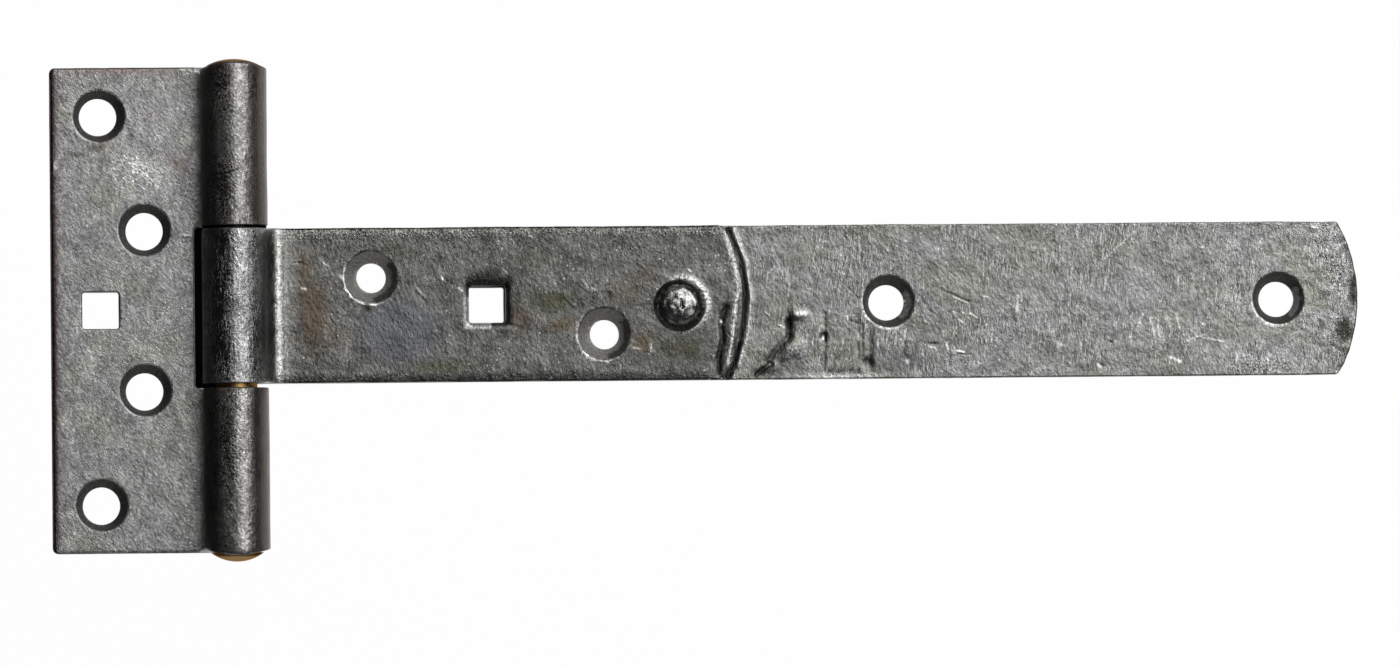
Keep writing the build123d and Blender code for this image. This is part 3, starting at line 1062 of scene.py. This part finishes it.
def near_lines(table):
    """A test for places close to any line of a table."""
    lines = lines_of(table)

    def test(place):
        for ends, _, _, width in lines:
            if min(ends)[0] - 1.2 < place.x < max(ends)[0] + 1.2:
                if line_gap(place.x, place.y, ends) < width + 0.75:
                    return True
        return False
    return test


def true_knuckle(bm):
    """Bring what lies on a knuckle's facets out to its round."""
    for vert in bm.verts:
        x = vert.co.x - pin_place.x * mm
        z = vert.co.z - pin_place.z * mm
        radius = hypot(x, z)
        if abs(radius - knuckle_r * mm) < 0.06 * mm and vert.co.z > 0.2 * mm:
            vert.co.x += x * (knuckle_r * mm / radius - 1)
            vert.co.z += z * (knuckle_r * mm / radius - 1)


def draw_square_in(bm):
    """Let the lap's face fall into the square hole."""
    for vert in bm.verts:
        if vert.co.z > (lap_top - 1.6) * mm:
            vert.co.z += drawn_in(vert.co.x / mm, vert.co.y / mm) * mm


def ease_lap_end(bm):
    """Hammer the end of the lap down to a slope instead of a round."""
    centre = Vector((lap_end - lap_end_arc, strap_middle))
    for vert in bm.verts:
        place = vert.co / mm
        past = hypot(place.x - centre.x, place.y - centre.y) - (lap_end_arc - lap_end_round)
        if place.x > lap_end - 10 and place.z > sheet + 0.02 and past > 0:
            past = min(past, lap_end_round)
            if place.z > sheet + 0.5:
                sloped = lap_top - 0.36 * max(0, (past - 0.5) / (lap_end_round - 0.5)) ** 1.3
                vert.co.z = max(vert.co.z, sloped * mm)
            vert.co.x -= 0.4 * mm * past / lap_end_round


def spread_rivet(bm):
    """Beat the rivet's head flatter and wider."""
    for vert in bm.verts:
        place = vert.co / mm
        x, y = place.x - rivet_place.x, place.y - rivet_place.y
        if place.z > lap_top - 2.3 and hypot(x, y) < 4.7:
            crown = lap_top + 0.3
            raised = min(1, (place.z - lap_top + 2.3) / 1.5)
            vert.co.x += (0.24 * x + 0.35 * raised) * mm
            vert.co.y += (0.24 * y + 0.25 * raised) * mm
            vert.co.z = (crown - (crown - place.z) * 0.69) * mm


def bow_ends(bm):
    """Bulge the outer ends of the flap's knuckles, as rolling does: out in the middle and in at the sides."""
    for vert in bm.verts:
        side = (vert.co.x / mm - pin_place.x) / knuckle_r
        near_end = max(0, abs(vert.co.y) / mm - flap_high.y + 2.5) / 2.5
        if vert.co.x / mm > pin_place.x - knuckle_r - 0.3 and vert.co.z > 1.5 * mm and near_end > 0:
            vert.co.y += (1 if vert.co.y > 0 else -1) * (0.7 - 1.5 * min(1, side ** 2)) * mm * near_end


def flatten_head(bm):
    """The pin's heads stand less proud than a full dome."""
    for vert in bm.verts:
        past = abs(vert.co.y) / mm - flap_high.y
        if past > 0:
            vert.co.y -= 0.32 * past * mm if vert.co.y > 0 else -0.06 * past * mm


def mark_creases(bm, angle):
    """Smooth faces, with the sheet's own corners kept crisp."""
    for face in bm.faces:
        face.smooth = True
    for edge in bm.edges:
        edge.smooth = not (edge.is_manifold and edge.calc_face_angle() > angle)


def raise_relief(bm, relief, low, high):
    """Move each point along its normal by the relief there, and keep it inside the node's own box."""
    bm.normal_update()
    moves = [(vert, vert.normal * relief(vert.co / mm, vert.normal) * mm) for vert in bm.verts]
    for vert, move in moves:
        vert.co = [min(high[i], max(low[i], vert.co[i] + move[i])) for i in range(3)]


def paint(piece, values):
    """Store named values for each point of a piece, worked out from its place in millimetres."""
    places = [vert.co / mm for vert in piece.data.vertices]
    for name, value_at in values.items():
        attribute = piece.data.attributes.new(name, "FLOAT", "POINT")
        attribute.data.foreach_set("value", [value_at(place) for place in places])


def add_mesh(bm, name, material):
    """A finished mesh as an object of the scene."""
    mesh = bpy.data.meshes.new(name)
    bm.to_mesh(mesh)
    bm.free()
    mesh.materials.append(material)
    return add_object(name, mesh)


def make_piece(bm, name, node, body, material):
    """The piece that stands for a node of the frame, and moves with its body."""
    piece = add_mesh(bm, name, material)
    even = piece.modifiers.new("even_shading", "WEIGHTED_NORMAL")
    even.keep_sharp = True
    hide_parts(node)
    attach(piece, body)
    return piece


def shown(bm):
    """Faces that can be seen from the front, and the whole of the knuckles."""
    faces = []
    for face in bm.faces:
        place = face.calc_center_median() / mm
        by_pin = abs(place.x - pin_place.x) < knuckle_r + 0.4
        buried = place.z < sheet + 0.2 and pin_place.x < place.x < single_start
        if by_pin or (face.normal.z > 0.1 and not buried):
            faces.append(face)
    return faces


def stain_values(stains, table_at):
    """What gives the amount of each of a leaf's stains at a place."""
    return {name: lambda place, name=name: stain_at(table_at(place), name, place) for name in stains}


def on_flecks(place):
    """1 in the cluster of bright flecks on the flap."""
    return min(1, oval(place.x, place.y, (8.6, 35.6), (6.5, 5.0), 1.1, -0.6)
               + oval(place.x, place.y, (4.0, 50.0), (30.0, 8.0), 0.25)) * (place.z > sheet - 0.5)


def on_side(side, start):
    """What gives 1 low on a side of the knuckles: 1 faces the strap, and -1 the plate."""
    return lambda place: on_barrel(place) * clamp((side * (place.x - pin_place.x) - start) / 1.8)


def on_dark_edge(place):
    """1 along the free edge of the flap."""
    return clamp((flap_low.x + 1.35 - place.x) / 0.6)


def on_barrel(place):
    """1 on the knuckles, 0 on the flats beside them."""
    radius = hypot(place.x - pin_place.x, place.z - pin_place.z)
    return 1.0 if radius < knuckle_r + 0.3 and place.z > 1.0 and place.x > pin_place.x - 9 else 0.0


def leaf_copy(node, holes):
    """A copy of a leaf's mesh, with its screw holes as they were drilled."""
    bm = cad_copy(node)
    for centre, face_z, hole_r, rim_r, drift in holes:
        shift_hole(bm, centre, face_z, hole_r, drift)
        round_rim(bm, centre, face_z, rim_r)
    return bm


def in_front(place):
    """Whether a place on the flap is on its face, or on the front of its knuckles."""
    return place.z > sheet - 0.6


def make_flap():
    bm = leaf_copy("flap", flap_holes)
    slice_node(bm, "flap", shown, ((1, 1.0), (0, 1.0)))
    refine(bm, near_lines(flap_lines))
    true_knuckle(bm)
    mark_creases(bm, leaf_crease)
    raise_relief(bm, flap_relief, *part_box("flap"))
    bow_ends(bm)
    piece = make_piece(bm, "flap_plate", "flap", "flap", make_flap_zinc())
    paint(piece, {
        "barrel": on_barrel,
        "patina_and_shade": on_side(1, 3.8),
        "plate_side_shade": on_side(-1, 3.6),
        "flecks": on_flecks,
        "dark_edge": on_dark_edge,
        "crust": flap_crust,
        "dirt_and_shade": lambda place: flap_marks(place.x, place.y)[1] * in_front(place),
        "bright": lambda place: flap_marks(place.x, place.y)[0] * in_front(place),
        "well": at_holes(flap_holes, on_wall),
        "lit_well": lambda place: 0.0,
        **stain_values(flap_stains, lambda place: flap_stain_places if in_front(place) else {}),
    })


def strap_pitch(x):
    """Strips narrow enough for the forging marks, and wider elsewhere."""
    if 158 < x < 169.5:
        return 0.4
    if 169.5 <= x < 200 or 91 < x < 108:
        return 0.7
    return 1.2


def on_lap(place):
    """1 on the lap, easing to 0 on the bend that leads to it."""
    return clamp((place.x - bend_foot_x - 0.4) / 5.0) if place.z > sheet + 0.5 else 0.0


def make_strap():
    bm = leaf_copy("strap", strap_holes)
    shrink_square(bm)
    slice_node(bm, "strap", whole, ((0, 10.0), (1, 10.0)))
    slice_node(bm, "strap", shown, ((0, strap_pitch), (1, 1.0)))
    by_line = near_lines(strap_lines)
    by_lap_line = near_lines(lap_lines)
    refine(bm, lambda place: by_lap_line(place) or by_hole(place) if place.z > sheet + 1 else
           by_line(place) or (168.5 < place.x < 184 and place.y < 1))
    true_knuckle(bm)
    draw_square_in(bm)
    ease_lap_end(bm)
    mark_creases(bm, leaf_crease)
    raise_relief(bm, strap_relief, *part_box("strap"))
    piece = make_piece(bm, "strap_strip", "strap", "strap", make_strap_zinc())
    tables = {"lap": lap_stains, "single": strap_stain_places, "": {}}
    glint = at_holes(strap_holes, rim_glint)
    paint(piece, {
        "barrel": lambda place: on_barrel(place) * (place.x < pin_place.x + 8.3),
        "lap": on_lap,
        "dirt_and_shade": strap_dirt_and_shade,
        "bright": lambda place: max(strap_bright(place), glint(place)),
        "crust": strap_crust,
        "well": at_holes(strap_holes, on_wall),
        "lit_well": at_holes(strap_holes, on_lit_wall),
        **stain_values(strap_stains, lambda place: tables[face_of(place)]),
    })


def make_rivet():
    bm = cad_copy("lap_rivet")
    slice_node(bm, "lap_rivet", whole, ((0, 0.4), (1, 0.4)))
    spread_rivet(bm)
    mark_creases(bm, turned_crease)
    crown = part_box("lap_rivet")[1].z
    raise_relief(bm, rivet_relief, strap_low * mm, Vector((strap_high.x * mm, strap_high.y * mm, crown)))
    piece = make_piece(bm, "hammered_rivet", "lap_rivet", "strap", make_rivet_zinc())
    # Painted shade: the rivet dark below the lap's face
    paint(piece, {"dirt_and_shade": lambda place: place.z < lap_top - 1.5})


def on_pin_shade(place):
    """1 where the pin is painted near black as shade: at the foot of its heads and in the upper gap between
    the knuckles.
    """
    if abs(place.y) > 62:
        return clamp((63.6 - abs(place.y)) / 0.25)
    return 1.0 if 19 < place.y < 23 else 0.0


def make_pin():
    bm = cad_copy("pin")
    slice_node(bm, "pin", whole, [(1, 1.0)])
    flatten_head(bm)
    mark_creases(bm, turned_crease)
    piece = make_piece(bm, "headed_pin", "pin", "flap", make_pin_metal())
    paint(piece, {"head": lambda place: abs(place.y) > 62.4, "foot": on_pin_shade})


# Ground

def stage_sheet(name, left, right, low, high, z, material):
    """A flat sheet that isn't part of the hinge."""
    bm = bmesh.new()
    bmesh.ops.create_grid(bm, x_segments=1, y_segments=1, size=0.5)
    bmesh.ops.scale(bm, vec=(right - left, high - low, 1), verts=bm.verts)
    bmesh.ops.translate(bm, vec=((left + right) / 2, (low + high) / 2, z), verts=bm.verts)
    add_mesh(bm, name, material)


def one_sided(material, shader):
    """The material's front shows the shader, and its back is clear."""
    tree = material.node_tree
    clear = add_node(tree, "BsdfTransparent", {})
    behind = add_node(tree, "NewGeometry", {}).outputs["Backfacing"]
    sides = add_node(tree, "MixShader", {0: behind, 1: shader, 2: clear.outputs[0]})
    tree.links.new(sides.outputs[0], tree.nodes["Material Output"].inputs["Surface"])


def make_ground_white():
    """White where the camera, metal or glass sees it, and pale grey for the light that falls on it."""
    material = bpy.data.materials.new("ground_white")
    material.use_nodes = True
    tree = material.node_tree
    path = add_node(tree, "LightPath", {})
    mirrored = calculate(tree, "MAXIMUM", path.outputs["Is Glossy Ray"], path.outputs["Is Transmission Ray"])
    place = add_node(tree, "TexCoord", {}).outputs["Object"]
    near = add_node(tree, "SeparateXYZ", {0: place}).outputs[0]
    sheet_edge = spread(tree, near, -0.30, -0.20)
    mirrored = calculate(tree, "MULTIPLY", mirrored, sheet_edge)
    seen = calculate(tree, "MAXIMUM", path.outputs["Is Camera Ray"], mirrored)
    grey = blend(tree, path.outputs["Is Camera Ray"], (0.10, 0.10, 0.10), (0.95, 0.95, 0.95))
    paper = add_node(tree, "BsdfDiffuse", {"Color": grey})
    glow = add_node(tree, "Emission", {"Strength": 1.0})
    share = calculate(tree, "MULTIPLY", seen, 0.98)
    mixed = add_node(tree, "MixShader", {0: share, 1: paper.outputs[0], 2: glow.outputs[0]})
    one_sided(material, mixed.outputs[0])
    return material


def make_slit_shade():
    """What is seen through the notch's slit and the gaps beside it, which no light reaches."""
    material = bpy.data.materials.new("slit_shade")
    material.use_nodes = True
    shade = add_node(material.node_tree, "BsdfDiffuse", {"Color": (0.01, 0.01, 0.01)})
    one_sided(material, shade.outputs[0])
    return material


def add_ground():
    stage_sheet("floor", -floor_reach, floor_reach, -floor_reach, floor_reach, floor_z, make_ground_white())
    shade = make_slit_shade()
    left, right = pin_place.x - 8.2, pin_place.x + 8.2
    low, high = strap_low.y, strap_high.y
    for name, extent in {
            "slit_shade": (strap_low.x - 1.9, strap_low.x + 0.9, low - 0.9, high + 0.9, -0.2),
            "play_shade": (left, right, high - 0.3, high + 0.75, pin_place.z),
            "low_play_shade": (left, pin_place.x - 5.0, low - 1.2, low + 0.3, pin_place.z)}.items():
        stage_sheet(name, *(length * mm for length in extent), shade)


bpy.context.scene.view_settings.view_transform = "Standard"
add_camera()
add_lights()
add_ground()
make_flap()
make_strap()
make_rivet()
make_pin()
